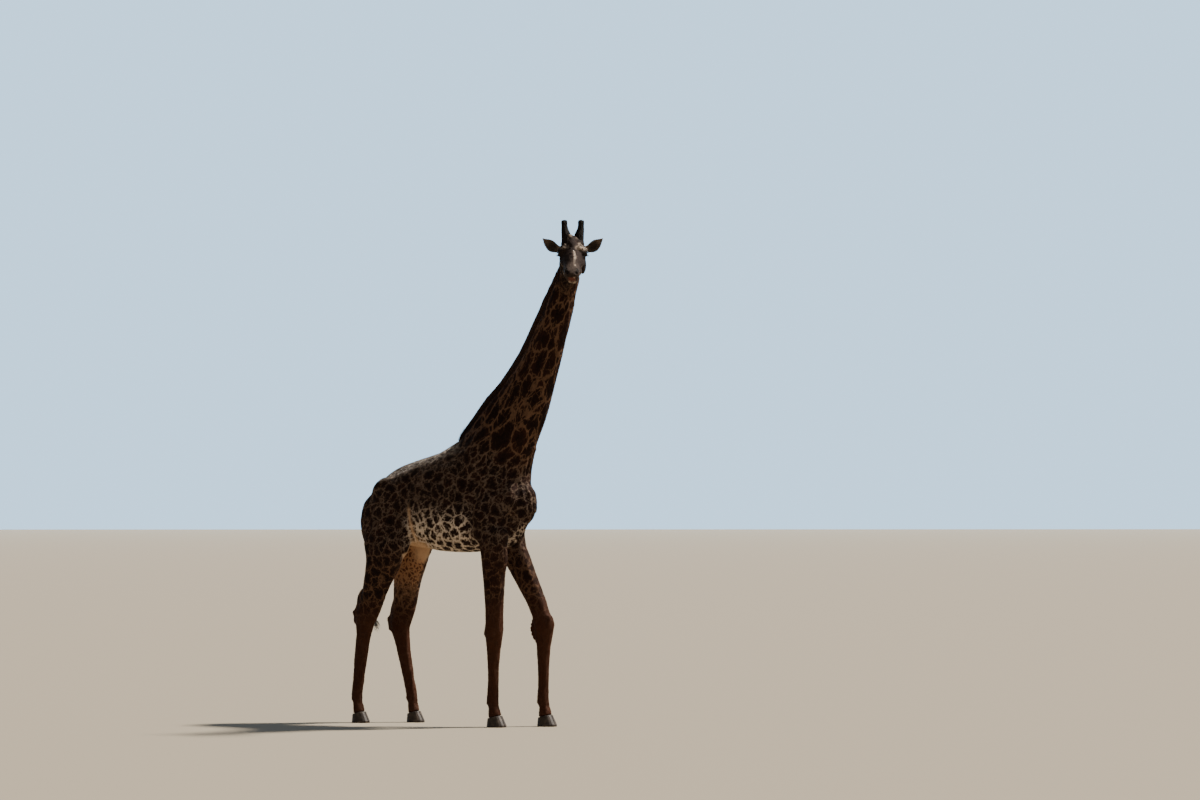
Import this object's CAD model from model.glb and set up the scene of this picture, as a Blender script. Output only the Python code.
import math

import bmesh
import bpy
import numpy as np
from mathutils import Matrix, Vector
from mathutils.bvhtree import BVHTree


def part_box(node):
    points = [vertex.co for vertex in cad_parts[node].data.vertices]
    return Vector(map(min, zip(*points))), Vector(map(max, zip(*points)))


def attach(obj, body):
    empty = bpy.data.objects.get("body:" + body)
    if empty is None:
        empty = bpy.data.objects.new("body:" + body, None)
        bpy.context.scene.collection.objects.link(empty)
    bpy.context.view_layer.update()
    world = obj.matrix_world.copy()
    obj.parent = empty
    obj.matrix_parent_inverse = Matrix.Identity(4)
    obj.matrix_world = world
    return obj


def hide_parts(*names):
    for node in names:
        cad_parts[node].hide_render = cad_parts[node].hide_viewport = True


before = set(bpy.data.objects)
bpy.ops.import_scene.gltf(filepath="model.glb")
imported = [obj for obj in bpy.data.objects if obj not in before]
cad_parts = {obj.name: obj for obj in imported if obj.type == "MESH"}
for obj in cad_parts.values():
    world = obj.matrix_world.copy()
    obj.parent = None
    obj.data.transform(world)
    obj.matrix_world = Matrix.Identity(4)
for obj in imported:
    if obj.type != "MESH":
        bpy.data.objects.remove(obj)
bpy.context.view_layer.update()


# ---------------------------------------------------------------- the flesh
# The body under the hide: trunk, neck, head, ears, legs and tail as one closed form, with no
# seams. It is cast over the solids, eased until no facet is left, and kept inside them by the
# depth of the coat.
FLESH = ["trunk", "neck_lower", "neck_upper", "tail"]
FLESH += [f"{end}_{hand}_{level}" for end in ("foreleg", "hindleg")
          for hand in ("left", "right") for level in ("upper", "lower")]
COAT_DEPTH = 0.004
FACE_COAT_DEPTH = 0.002
CUT_CLOSING = 0.0012
BODY_GRAIN = 0.010
HEAD_GRAIN = 0.004
HIDE_GRAIN = 0.0050
HIDE_TRIANGLES = 182000


def middle(*names):
    """The middle of the named solids' boxes."""
    corners = [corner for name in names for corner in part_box(name)]
    return sum(corners, Vector()) / len(corners)


# The trunk's own origin is on the floor under the withers; the head's is between the eyes.
EYES = middle("eye_left", "eye_right")
STAND = EYES - Vector((1.640, -0.085, 4.809))
HEAD_TURN, HEAD_NOD = math.radians(-57.5), math.radians(18)
HEAD = (Matrix.Translation(EYES) @ Matrix.Rotation(HEAD_TURN, 4, "Z")
        @ Matrix.Rotation(HEAD_NOD, 4, "Y"))
HEAD_AXES = np.array(HEAD.to_3x3())


def ramp(value, low, high):
    """0 below low and 1 above high, eased between; it falls where low is above high."""
    share = np.clip((value - low) / (high - low), 0, 1)
    return share * share * (3 - 2 * share)


def from_head(points):
    """Points given in the head's frame (forward, left, up), in the whole animal's."""
    return np.asarray(points, float) @ HEAD_AXES.T + np.array(HEAD.translation)


def to_head(points):
    return (points - np.array(HEAD.translation)) @ HEAD_AXES


def to_trunk(points):
    return points - np.array(STAND)


def read(items, field, each, kind=np.float32):
    """One field of every item of a mesh, a row of each numbers to an item."""
    found = np.empty(len(items) * each, kind)
    items.foreach_get(field, found)
    return found.reshape(-1, each)


def places_of(mesh):
    return read(mesh.vertices, "co", 3).astype(float)


def normals_of(mesh):
    return read(mesh.vertex_normals, "vector", 3).astype(float)


def put_places(mesh, places):
    mesh.vertices.foreach_set("co", places.astype(np.float32).ravel())
    mesh.update()


def with_modifiers(mesh, *steps):
    """The mesh after Blender modifiers, each given as (kind, {setting: value})."""
    thing = bpy.data.objects.new("in_work", mesh)
    bpy.context.scene.collection.objects.link(thing)
    for kind, settings in steps:
        step = thing.modifiers.new(kind.lower(), kind)
        for setting, value in settings.items():
            setattr(step, setting, value)
    bpy.context.view_layer.update()
    graph = bpy.context.evaluated_depsgraph_get()
    made = bpy.data.meshes.new_from_object(thing.evaluated_get(graph))
    bpy.data.objects.remove(thing)
    return made


def mesh_from(bm, name):
    mesh = bpy.data.meshes.new(name)
    bm.to_mesh(mesh)
    bm.free()
    return mesh


def cast_of(names, grow, grain):
    """One closed mesh over copies of the named solids, each grown so that the cuts close."""
    bm = bmesh.new()
    for name in names:
        bm.from_mesh(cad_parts[name].data)
    bmesh.ops.remove_doubles(bm, verts=bm.verts, dist=1e-5)
    bmesh.ops.recalc_face_normals(bm, faces=bm.faces)
    bm.normal_update()
    for v in bm.verts:
        v.co += v.normal * grow
    return with_modifiers(mesh_from(bm, "cast"), ("REMESH", {"mode": "VOXEL", "voxel_size": grain}))


def ends_of_edges(mesh):
    return read(mesh.edges, "vertices", 2, np.int32).T


def eased(values, ends, rounds, share):
    """Each row drawn towards the mean of its neighbours, rounds times."""
    a, b = ends
    count = np.bincount(a, minlength=len(values)) + np.bincount(b, minlength=len(values))
    count = np.maximum(count, 1)
    values = values.reshape(len(values), -1).copy()
    share = np.broadcast_to(share, len(values))[:, None]
    for _ in range(rounds):
        total = np.empty_like(values)
        for k in range(values.shape[1]):
            total[:, k] = (np.bincount(a, values[b, k], len(values))
                           + np.bincount(b, values[a, k], len(values)))
        values += share * (total / count[:, None] - values)
    return values


def soft_cast(names, grow, grain, rounds):
    """A cast with its facets eased away."""
    mesh = cast_of(names, grow, grain)
    put_places(mesh, eased(places_of(mesh), ends_of_edges(mesh), rounds, 0.5))
    return mesh


def surface_of(names):
    """A search tree over the named solids' faces."""
    corners, faces = [], []
    for name in names:
        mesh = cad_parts[name].data
        first = len(corners)
        corners += [v.co.copy() for v in mesh.vertices]
        faces += [[first + i for i in face.vertices] for face in mesh.polygons]
    return BVHTree.FromPolygons(corners, faces)


def set_to_depth(mesh, tree, depth, rounds):
    """Moves the eased mesh along its normals until it lies depth inside the solids."""
    places, normals = places_of(mesh), normals_of(mesh)
    stands = np.empty(len(places))
    for k, place in enumerate(places):
        near, _, _, far = tree.find_nearest(place)
        away = (place - np.array(near)) @ normals[k]
        stands[k] = math.copysign(far, away) if far < 0.05 else 0.0
    stands = eased(stands, ends_of_edges(mesh), rounds, 0.5)[:, 0]
    put_places(mesh, places - normals * (stands + depth)[:, None])


body = cast_of(FLESH, CUT_CLOSING, BODY_GRAIN)
body_places = places_of(body)
on_legs = ramp(to_trunk(body_places)[:, 2], 1.95, 1.55)
body_ends = ends_of_edges(body)
body_places = eased(body_places, body_ends, 46, 0.5 * (1 - on_legs))
body_places = eased(body_places, body_ends, 4, 0.5)
put_places(body, body_places)
set_to_depth(body, surface_of(FLESH), COAT_DEPTH, 12)

face = soft_cast(["head"], CUT_CLOSING * 0.4, HEAD_GRAIN, 26)
set_to_depth(face, surface_of(["head"]), FACE_COAT_DEPTH, 6)

bm = bmesh.new()
bm.from_mesh(body)
bm.from_mesh(face)
hide = with_modifiers(mesh_from(bm, "flesh"),
                      ("REMESH", {"mode": "VOXEL", "voxel_size": HIDE_GRAIN}))
hide_places = places_of(hide)
in_head = to_head(hide_places)
by_poll = ramp(in_head[:, 0], -0.05, -0.14) * ramp(hide_places[:, 2], 4.3, 4.45)
on_face = ramp(in_head[:, 0], -0.12, -0.04) * ramp(hide_places[:, 2], 4.3, 4.45)
hide_places = eased(hide_places, ends_of_edges(hide), 14, 0.16 - 0.12 * on_face + 0.34 * by_poll)
put_places(hide, hide_places)


# ---------------------------------------------------------------- modelling on the flesh
# What lies just under a short coat: shoulder blade, ribs, hip, tendons, the folds of the chest
# and flank, and on the head the lids, nostrils, lips and jaw. Each is a ridge or a hollow drawn
# on the surface along a short line.
hide_normals = normals_of(hide)


def draw(line, reach, rise):
    """Raises (or sinks, below 0) the hide along a line of points, fading out at reach."""
    line = np.asarray(line, float)
    near = np.all((hide_places > line.min(0) - reach * 2)
                  & (hide_places < line.max(0) + reach * 2), 1)
    spots = hide_places[near]
    nearest = np.full(len(spots), 9.0)
    for start, end in zip(line, line[1:]):
        along = end - start
        share = np.clip((spots - start) @ along / (along @ along), 0, 1)
        gap = np.linalg.norm(spots - start - share[:, None] * along, axis=1)
        nearest = np.minimum(nearest, gap)
    lift = rise * np.exp(-(nearest / reach) ** 2 * 1.2)
    hide_places[near] += hide_normals[near] * lift[:, None]


def rounded(points, steps=6):
    """A smooth line through the given points."""
    points = np.asarray(points, float)
    padded = np.vstack([2 * points[0] - points[1], points, 2 * points[-1] - points[-2]])
    found = []
    for p0, p1, p2, p3 in zip(padded, padded[1:], padded[2:], padded[3:]):
        for t in np.linspace(0, 1, steps, endpoint=False):
            found.append(0.5 * (2 * p1 + (p2 - p0) * t + (2 * p0 - 5 * p1 + 4 * p2 - p3) * t * t
                                + (3 * p1 - p0 - 3 * p2 + p3) * t ** 3))
    return np.array(found + [points[-1]])


def on_trunk(points, side=1):
    return np.asarray(points, float) * (1, side, 1) + np.array(STAND)


def on_head(points, side=1):
    return from_head(np.asarray(points, float) * (1, side, 1))


def rib(number):
    x = 0.22 - 0.072 * number
    return (0.0034 - 0.0002 * number, 0.026,
            [(x + 0.05, 0.26, 2.66), (x + 0.01, 0.345, 2.40), (x - 0.03, 0.34, 2.12),
             (x - 0.02, 0.25, 1.92)])


for side in (1, -1):
    for rise, reach, line in (
            # shoulder blade's front edge and spine, and the hollows behind and before it
            (0.010, 0.055, [(0.36, 0.14, 2.92), (0.56, 0.27, 2.62), (0.74, 0.30, 2.36)]),
            (-0.012, 0.050, [(0.28, 0.24, 2.84), (0.37, 0.33, 2.52), (0.44, 0.35, 2.24),
                             (0.52, 0.33, 2.02)]),
            (-0.010, 0.045, [(0.58, 0.18, 2.92), (0.78, 0.24, 2.62), (0.90, 0.24, 2.42)]),
            # upper arm over the elbow
            (0.010, 0.065, [(0.60, 0.32, 2.26), (0.72, 0.32, 2.08), (0.74, 0.31, 1.90)]),
            *[rib(number) for number in range(8)],
            # point of the hip, hollow of the flank, and the fold from stifle to belly
            (0.014, 0.070, [(-0.40, 0.20, 2.56), (-0.47, 0.24, 2.46)]),
            (-0.016, 0.075, [(-0.27, 0.25, 2.50), (-0.30, 0.29, 2.30), (-0.34, 0.28, 2.14)]),
            (0.010, 0.030, [(-0.36, 0.27, 2.10), (-0.27, 0.26, 1.95), (-0.17, 0.20, 1.85)]),
            # groove between the thigh's muscles, and the muscle before it
            (-0.008, 0.035, [(-0.77, 0.23, 2.30), (-0.76, 0.29, 2.05), (-0.74, 0.27, 1.80),
                             (-0.76, 0.25, 1.55)]),
            (0.008, 0.050, [(-0.46, 0.27, 2.28), (-0.40, 0.31, 2.04), (-0.42, 0.31, 1.84)]),
            # groove along the neck, with the muscle below it
            (-0.008, 0.030, [(0.86, 0.23, 2.66), (1.00, 0.19, 3.05), (1.16, 0.15, 3.50),
                             (1.34, 0.13, 3.95), (1.50, 0.12, 4.32)]),
            (0.006, 0.035, [(0.95, 0.17, 2.66), (1.08, 0.14, 3.05), (1.23, 0.11, 3.50),
                            (1.41, 0.09, 3.95), (1.55, 0.08, 4.30)])):
        draw(rounded(on_trunk(line, side)), reach, rise)

# folds of loose skin down the front of the breast
breast = surface_of(["trunk", "neck_lower"])
for across, lift in ((-0.100, 0.010), (-0.045, 0.013), (0.010, 0.015), (0.070, 0.014),
                     (0.125, 0.011)):
    fold = on_trunk([(1.15, across * 0.8, 2.84), (1.15, across, 2.62), (1.15, across, 2.40),
                     (1.10, across * 0.8, 2.20)])
    fold = [breast.ray_cast(Vector(spot), Vector((-1, 0, 0)), 0.5)[0] or spot for spot in fold]
    draw(rounded(fold), 0.017, lift)
# rings of skin at the throat
for number in range(5):
    z = 4.44 - 0.085 * number
    x = 1.600 - 0.034 * number
    ring = [(x - 0.10, 0.12, z + 0.07), (x - 0.015, 0.06, z + 0.015), (x, 0.0, z),
            (x - 0.015, -0.06, z + 0.015), (x - 0.10, -0.11, z + 0.07)]
    draw(rounded(on_trunk(ring)), 0.013, -0.0035)

NOSTRIL = [(0.418, 0.056, -0.038), (0.440, 0.058, -0.048), (0.464, 0.044, -0.062)]
MOUTH = [(0.265, 0.084, -0.112), (0.33, 0.080, -0.114), (0.40, 0.078, -0.116),
         (0.452, 0.058, -0.118), (0.484, 0.024, -0.121), (0.490, 0.0, -0.122)]
for side in (1, -1):
    for rise, reach, line in (
            # hollow above the eye, rim of bone behind it, and the ridge under it
            (-0.0060, 0.026, [(-0.06, 0.10, 0.075), (-0.075, 0.112, 0.050)]),
            (0.0050, 0.013, [(0.045, 0.100, 0.042), (0.0, 0.128, 0.046), (-0.045, 0.122, 0.030)]),
            (0.0045, 0.014, [(0.15, 0.078, -0.045), (0.07, 0.095, -0.040), (-0.02, 0.112, -0.036),
                             (-0.09, 0.112, -0.020)]),
            # edge of the jaw muscle, and the vein across the face
            (-0.0050, 0.018, [(0.0, 0.092, -0.075), (0.02, 0.085, -0.115), (-0.02, 0.075, -0.15)]),
            (0.0022, 0.006, [(0.19, 0.070, -0.005), (0.15, 0.076, -0.040), (0.10, 0.078, -0.080)]),
            # nostril: a slanting comma under a raised wing
            (0.0055, 0.016, [(0.395, 0.058, -0.026), (0.430, 0.062, -0.036),
                             (0.462, 0.050, -0.056)]),
            (-0.0190, 0.0120, NOSTRIL),
            # mouth line with full lips
            (0.0040, 0.014, [(0.30, 0.070, -0.088), (0.38, 0.076, -0.090),
                             (0.45, 0.060, -0.100), (0.482, 0.020, -0.106)]),
            (-0.0110, 0.0075, MOUTH),
            (0.0040, 0.012, [(0.34, 0.066, -0.134), (0.41, 0.060, -0.138),
                             (0.455, 0.040, -0.140)]),
            # creases over the brow and beside the nose knob, the chin's fold
            (-0.0045, 0.008, [(0.060, 0.060, 0.098), (0.030, 0.085, 0.100),
                              (-0.020, 0.095, 0.095)]),
            (-0.0040, 0.008, [(0.02, 0.036, 0.135), (0.09, 0.034, 0.088), (0.17, 0.036, 0.046)]),
            (-0.0040, 0.010, [(0.33, 0.040, -0.165), (0.36, 0.052, -0.158),
                              (0.42, 0.046, -0.160)])):
        draw(rounded(on_head(line, side)), reach, rise)
# groove down the middle of the upper lip
draw(on_head([(0.490, 0, -0.070), (0.489, 0, -0.112)]), 0.007, -0.004)
# knobs of bone, as old males grow them, on brow and nose
for knob in ((0.030, 0.095, 0.082), (0.055, 0.070, 0.092), (0.000, 0.085, 0.106),
             (0.040, -0.090, 0.084), (0.005, -0.078, 0.108), (0.120, 0.010, 0.078),
             (0.155, -0.008, 0.062), (0.090, -0.014, 0.096), (-0.030, 0.020, 0.172),
             (0.210, 0.006, 0.038)):
    draw(on_head([knob, np.array(knob) + (0.008, 0.004, -0.004)]), 0.015, 0.0080)

# the flats beside the tendons of the lower legs
for foot_name in ("fore_left", "fore_right", "hind_left", "hind_right"):
    foot = middle(f"hoof_{foot_name}_left_toe", f"hoof_{foot_name}_right_toe")
    for side in (1, -1):
        shank = [(foot.x - 0.035, foot.y + side * 0.040, 0.40),
                 (foot.x - 0.035, foot.y + side * 0.040, 0.60),
                 (foot.x - 0.040, foot.y + side * 0.044, 0.74)]
        draw(rounded(shank), 0.016, -0.0045)
# hard, ragged calluses behind the left knee
knee = on_trunk([(1.083, 0.222, 1.0)])[0]
for behind, up in ((0.150, 0.07), (0.165, 0.035), (0.155, 0.0), (0.172, -0.03), (0.150, -0.07),
                   (0.140, -0.105), (0.120, -0.145)):
    for across in (-0.02, 0.022):
        spot = knee + (-behind, across, up)
        draw([spot, spot + (0.03, 0, 0.004)], 0.014, 0.0110)
put_places(hide, hide_places)

hide = with_modifiers(hide, ("DECIMATE", {"ratio": HIDE_TRIANGLES / (2 * len(hide.polygons))}))


# ---------------------------------------------------------------- ears and lids
# Each ear is a leaf of hide and gristle, cupped forwards, set into the skull behind the horn.
# Two lids close over each eye. Ears and lids are of one hide with the head.
def row_faces(rows, columns, first, closed):
    """Corners of the quads of a grid of rows; closed joins the last column to the first."""
    faces = []
    for r in range(rows - 1):
        for c in range(columns - (0 if closed else 1)):
            n = (c + 1) % columns
            faces.append([first + r * columns + c, first + r * columns + n,
                          first + (r + 1) * columns + n, first + (r + 1) * columns + c])
    return faces


# distance out from the middle of the head, height, and half the leaf's width
EAR_LEAF = [(0.098, 0.024, 0.022), (0.135, 0.028, 0.029), (0.158, 0.033, 0.040),
            (0.182, 0.043, 0.054), (0.210, 0.054, 0.0625), (0.240, 0.063, 0.061),
            (0.264, 0.075, 0.050), (0.284, 0.093, 0.033), (0.296, 0.111, 0.016),
            (0.3025, 0.122, 0.005)]
EAR_ACROSS = 13


def ear(side):
    rows = rounded(EAR_LEAF, 5)
    spread = np.linspace(-1, 1, EAR_ACROSS)
    points = []
    for out, tall, half in rows:
        root = float(ramp(out, 0.19, 0.11))
        cup = half * (0.42 + 0.40 * root)
        rim, thick = 0.0036, 0.0072 + 0.018 * root
        back = -0.150 - 0.10 * (out - 0.12) + cup + 0.0010
        for a, inside in [(a, 0) for a in spread] + [(a, 1) for a in spread[::-1]]:
            hollow = -cup * (1 - a * a) + inside * (rim + (thick - rim) * (1 - a * a))
            points.append((back + hollow, out, tall + a * half))
    faces = row_faces(len(rows), 2 * EAR_ACROSS, 0, True)
    last = (len(rows) - 1) * 2 * EAR_ACROSS
    for c in range(EAR_ACROSS - 1):
        faces.append([last + c, last + c + 1, last + 2 * EAR_ACROSS - 2 - c,
                      last + 2 * EAR_ACROSS - 1 - c])
    return on_head(points, side), faces


EYE_RADIUS = (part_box("eye_left")[1].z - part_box("eye_left")[0].z) / 2
EYE_AT = np.array((0.002, 0.123, 0.008))
GAZE = np.array((0.42, 0.90, 0.10)) / np.linalg.norm((0.42, 0.90, 0.10))
LID_STEPS = 40


def across_gaze(gaze):
    """The two ways square to a gaze: sideways and upward."""
    sideways = np.cross((0, 0, 1), gaze)
    sideways /= np.linalg.norm(sideways)
    return sideways, np.cross(gaze, sideways)


def round_the_eye(turn, open_by, radius):
    """A point of the eye's neighbourhood: turn about the gaze, open_by radians off it."""
    sideways, upward = across_gaze(GAZE)
    ring = sideways * math.cos(turn) + upward * math.sin(turn)
    return EYE_AT + radius * (GAZE * math.cos(open_by) + ring * math.sin(open_by))


def lid_opening(turn):
    """How far off the gaze the lids' edge lies: an almond, wider than it is high."""
    upper = math.sin(turn) > 0
    tall = 0.60 if upper else 0.56
    return tall + (0.98 - tall) * abs(math.cos(turn)) ** 2.4


def lids(side):
    points = []
    profile = [(-0.02, 0.985), (-0.01, 1.05), (0.04, 1.11), (0.12, 1.12), (0.19, 1.075),
               (0.27, 1.12), (0.40, 1.17), (0.58, 1.14), (0.80, 1.04), (1.0, 0.9)]
    for wider, far in profile:
        for step in range(LID_STEPS):
            turn = 2 * math.pi * step / LID_STEPS
            edge = lid_opening(turn)
            rise = 1 + (far - 1) * (1.25 if math.sin(turn) > 0 else 0.85)
            points.append(round_the_eye(turn, edge + wider * (1.62 - edge), EYE_RADIUS * rise))
    return on_head(points, side), row_faces(len(profile), LID_STEPS, 0, True)


all_points = [places_of(hide)]
all_faces = [list(face.vertices) for face in hide.polygons]
part_of_hide = [np.zeros(len(all_points[0]))]
for side in (1, -1):
    for kind, (points, faces) in ((1, ear(side)), (2, lids(side))):
        first = sum(len(p) for p in all_points)
        all_points.append(points)
        all_faces += [[first + i for i in (face if side > 0 else face[::-1])] for face in faces]
        part_of_hide.append(np.full(len(points), kind))
part_of_hide = np.concatenate(part_of_hide)
hide = bpy.data.meshes.new("skin")
hide.from_pydata(np.concatenate(all_points), [], all_faces)
hide.shade_smooth()
skin = bpy.data.objects.new("skin", hide)
bpy.context.scene.collection.objects.link(skin)
bpy.context.view_layer.objects.active = skin
skin.select_set(True)
bpy.ops.object.mode_set(mode="EDIT")
bpy.ops.mesh.select_all(action="SELECT")
bpy.ops.mesh.normals_make_consistent(inside=False)
bpy.ops.uv.smart_project(angle_limit=1.2, island_margin=0.0012)
bpy.ops.object.mode_set(mode="OBJECT")
hide.uv_layers[0].name = "OFBake"
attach(skin, "root")
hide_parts(*FLESH, "head", "ear_left", "ear_right")


# ---------------------------------------------------------------- the markings
# Dark chocolate patches with ragged, leaf-like edges on a tan ground. They are long on the
# neck, small on haunch, belly and legs, and gone on the shins. The ground pales to cream on
# the belly and is bare in the groin.
NECK_BASE = np.array((0.55, 0.0, 2.75))
NECK_RISE = np.array((0.46, 0.0, 0.888))
NECK_SQUEEZE = 0.385


def lying_in(value, low, high, edge):
    return ramp(value, low - edge, low + edge) * ramp(value, high + edge, high - edge)


def share_of_head(h):
    """1 in front of a slanting plane from the poll to the throat, 0 behind it."""
    ahead = (h[:, 0] + 0.24) * 0.84 + (h[:, 2] - 0.10) * 0.543
    return ramp(ahead, -0.03, 0.05) * ramp(np.linalg.norm(h, axis=1), 0.80, 0.70)


def near_line(places, line, mirrored=True):
    """How far each place is from a line of points, on one side of the head or on both."""
    spots = places.copy()
    if mirrored:
        spots[:, 1] = np.abs(spots[:, 1])
    return np.min([np.linalg.norm(spots - point, axis=1) for point in rounded(line)], axis=0)


PALE_SPOT = [(0.482, 0.024, -0.108), (0.476, 0.036, -0.130)]


def markings_at(places, normals, kind):
    """What the hide's colour needs at each place. Widths and reaches are in metres."""
    p, h = to_trunk(places), to_head(places)
    x, y, z = p.T
    inward = -normals[:, 1] * np.sign(y)
    up_neck = (p - NECK_BASE) @ NECK_RISE
    at_head = np.where(kind > 0, 1.0, share_of_head(h))
    neck = ramp(up_neck, -0.05, 0.30) * (1 - at_head)
    legs = ramp(z, 1.95, 1.55)
    fore = ramp(x, 0.30, 0.50)
    inner = ramp(inward, 0.05, 0.65) * ramp(z, 0.95, 1.25)
    inner *= ramp(z, 2.15, 1.90)
    warm = inner * ramp(x, 0.0, -0.2) * ramp(z, 1.12, 1.62)
    inner = inner * (0.35 + 0.65 * (x < 0))
    belly = ramp(z, 2.32, 2.02) * lying_in(x, -0.30, 0.50, 0.08) * ramp(z, 1.45, 1.65)
    belly = np.maximum(belly, ramp(-normals[:, 2], 0.3, 0.7) * ramp(z, 1.6, 1.7)
                       * ramp(z, 2.12, 2.0))
    haunch = ramp(x, -0.22, -0.46) * ramp(z, 2.62, 2.36)
    groin = lying_in(x, -0.48, -0.12, 0.06) * lying_in(z, 1.68, 1.90, 0.06)
    groin *= ramp(np.abs(y), 0.31, 0.23)
    groin *= np.maximum(ramp(inward, 0.0, 0.4), ramp(-normals[:, 2], 0.4, 0.8))
    fold = np.exp(-((x + 0.235 + 0.15 * (z - 2.0)) / 0.020) ** 2) * lying_in(z, 1.84, 2.24, 0.05)
    bare = np.clip(np.maximum(groin, fold * 0.9), 0, 1)

    squeeze = -NECK_SQUEEZE * np.maximum(up_neck, 0)[:, None] * NECK_RISE
    pattern = p + squeeze - (p - NECK_BASE) * (0.25 * neck)[:, None]
    on_face = h * 1.8 + np.array((3.1, 1.7, 5.2))
    pattern = pattern + (on_face - pattern) * (at_head > 0.5)[:, None]

    width = 0.0032 - 0.0001 * haunch
    width = width + (0.0060 - width) * np.clip(belly, 0, 1)
    width = width + (0.0040 - width) * neck
    width = width + (0.0034 - 0.0014 * fore - width) * legs * (1 - inner) * (1 - belly)
    width = width + (0.0072 - width) * inner
    width = width + (0.0060 - width) * at_head
    reach = 0.034 - 0.004 * belly - 0.006 * neck + 0.02 * at_head
    pale = np.clip(0.95 * belly, 0, 1) * (1 - at_head)
    plain = np.where(fore > 0.5, ramp(z, 1.50, 1.05), ramp(z, 1.36, 0.95)) * (z < 1.7)
    plain = np.maximum(plain, (fore > 0.5) * 0.20 * ramp(z, 2.05, 1.70))
    dust = ramp(normals[:, 2], 0.36, 0.80) * ramp(z, 2.42, 2.65) * ramp(up_neck, 0.10, -0.10)

    # dark nostrils, mouth, eye rims and the inside of the ears
    dark = 0.95 * ramp(near_line(h, NOSTRIL), 0.021, 0.010)
    dark = np.maximum(dark, 0.9 * ramp(near_line(h, MOUTH), 0.0085, 0.004))
    eye_gap = np.linalg.norm(np.abs(h * (0, 1, 0)) + h * (1, 0, 1) - EYE_AT, axis=1)
    dark = np.maximum(dark, 0.90 * ramp(eye_gap, 0.060, 0.030))
    dark = np.maximum(dark, 0.55 * ramp(eye_gap, 0.105, 0.045))
    temple = [(-0.05, 0.125, 0.055), (-0.09, 0.115, 0.075), (-0.06, 0.085, 0.125)]
    dark = np.maximum(dark, 0.50 * ramp(near_line(h, temple), 0.060, 0.015))
    for line, far, much in (
            ([(0.00, 0.128, -0.02), (0.02, 0.120, -0.05), (0.03, 0.112, -0.085)], 0.030, 0.70),
            ([(0.060, 0.060, 0.100), (0.030, 0.085, 0.106), (-0.02, 0.098, 0.100)], 0.012, 0.75),
            ([(-0.04, 0.0, 0.185), (0.03, 0.0, 0.140), (0.085, 0.0, 0.100)], 0.036, 0.45),
            ([(0.484, 0.0, -0.092), (0.470, 0.040, -0.090)], 0.018, 0.55)):
        dark = np.maximum(dark, much * ramp(near_line(h, line), far * 1.4, far * 0.3))
    dark = dark * (1 - 0.9 * ramp(near_line(h, PALE_SPOT, False), 0.015, 0.006)) * at_head
    in_ear = ((kind == 1) * ramp((normals @ HEAD_AXES)[:, 0], 0.1, 0.5)
              * ramp(np.abs(h[:, 1]), 0.13, 0.16))
    in_cup = np.minimum.reduce([np.linalg.norm(h - np.array((-0.165, s * 0.205, 0.050)), axis=1)
                                for s in (1, -1)])
    dark = np.maximum(dark, (0.12 + 0.68 * ramp(in_cup, 0.080, 0.030)) * in_ear)
    ear_back = (kind == 1) * (1 - 0.50 * in_ear)
    # pale streaks: down the nose, over the brow, along the cheek, round nostril and chin
    fair = 0.05 * ramp(h[:, 0], 0.20, 0.36)
    for line, far, much, mirrored in (
            ([(0.10, 0.016, 0.100), (0.15, 0.026, 0.066), (0.21, 0.034, 0.040),
              (0.28, 0.030, 0.020), (0.35, 0.034, -0.006)], 0.017, 0.85, False),
            ([(-0.06, 0.045, 0.165), (-0.01, 0.060, 0.140), (0.03, 0.078, 0.110)], 0.014, 0.5,
             True),
            ([(0.055, 0.050, 0.100), (0.045, 0.085, 0.088), (0.015, 0.118, 0.075),
              (-0.03, 0.140, 0.062)], 0.017, 0.45, True),
            ([(0.060, 0.060, 0.102), (0.040, 0.094, 0.090), (0.005, 0.124, 0.074),
              (-0.03, 0.142, 0.060)], 0.031, 1.0, False),
            ([(0.03, -0.124, -0.055), (0.12, -0.106, -0.080), (0.22, -0.092, -0.105),
              (0.30, -0.082, -0.130)], 0.013, 0.75, False),
            ([(0.10, 0.108, -0.075), (0.20, 0.094, -0.100), (0.28, 0.082, -0.125)], 0.014,
             0.32, False),
            ([(-0.085, -0.030, 0.208), (-0.050, -0.022, 0.196)], 0.024, 0.80, False),
            ([(-0.020, 0.078, 0.112), (0.015, 0.100, 0.100), (0.0, 0.128, 0.080)], 0.022,
             0.90, False),
            ([(0.385, 0.066, -0.030), (0.430, 0.070, -0.026), (0.465, 0.048, -0.040)], 0.010,
             0.75, True),
            (PALE_SPOT, 0.011, 0.95, False),
            ([(0.462, 0.026, -0.166), (0.440, 0.036, -0.180), (0.37, 0.040, -0.185)], 0.022,
             0.80, True),
            ([(0.20, 0.085, -0.175), (0.16, 0.050, -0.215), (0.14, 0.0, -0.235)], 0.022, 0.60,
             True)):
        gap = near_line(h, line, mirrored)
        fair = np.maximum(fair, much * ramp(gap, far * 1.5, far * 0.3))
    lips = ramp(h[:, 0], 0.40, 0.45) * lying_in(h[:, 2], -0.155, -0.100, 0.010) * (kind == 0)
    lips *= ramp(np.abs(h[:, 1] - 0.002), 0.048, 0.026) * (1 - fair)
    muzzle = ramp(h[:, 0], 0.22, 0.36)
    return {
        "coat_pattern": pattern,
        "coat_lines": np.stack([width, reach, dark], 1),
        "coat_ground": np.stack([pale, bare, plain], 1),
        "coat_regions": np.stack([at_head, dust, warm], 1),
        "coat_head": np.stack([ear_back, np.clip(fair, 0, 1), lips * at_head], 1),
        "coat_face": np.stack([muzzle, ramp(h[:, 2], 0.04, -0.03),
                               np.maximum(neck, legs * (1 - warm) * (1 - belly))], 1),
    }


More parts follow.
